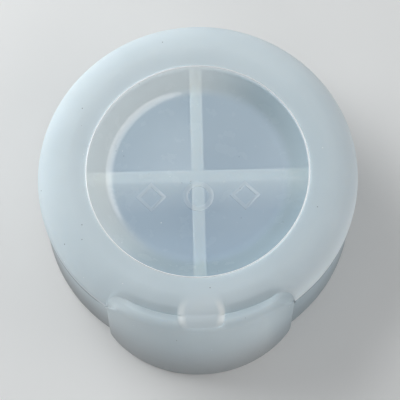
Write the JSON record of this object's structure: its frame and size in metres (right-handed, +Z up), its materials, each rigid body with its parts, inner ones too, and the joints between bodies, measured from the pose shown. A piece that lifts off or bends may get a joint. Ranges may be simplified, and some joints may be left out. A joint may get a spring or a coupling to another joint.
{
  "type": "resin casting mould",
  "caption": "Round translucent silicone casting mould: hollow body with a front lobe, cross divider, lift-off domed ring cover and a shallow lift-out dish with raised marks.",
  "frame": {"origin": "the disc's axis at table level, at the middle of the cross divider's flat foot", "axes": "+Z up along the disc's axis, -Y towards the front lobe, +X to the right seen from the front"},
  "size_m": [0.13, 0.1388, 0.0473],
  "materials": {
    "milky_silicone": "satin milky silicone, slightly translucent",
    "pale_silicone": "satin pale bluish-white silicone",
    "inner_silicone": "matt milky silicone",
    "clear_silicone": "thin glossy see-through silicone with a blue-grey tint"
  },
  "bodies": {
    "base": {"lower_body": "milky_silicone", "cross_divider": "inner_silicone"},
    "cover": {"ring_cover": "pale_silicone"},
    "dish": {"casting_dish": "clear_silicone"}
  },
  "joints": [
    {"name": "cover_lift", "type": "slide", "parent": "base", "child": "cover", "axis": [0, 0, 1], "range_m": [0, 0.04]},
    {"name": "dish_lift", "type": "slide", "parent": "cover", "child": "dish", "axis": [0, 0, 1], "range_m": [0, 0.03]}
  ]
}
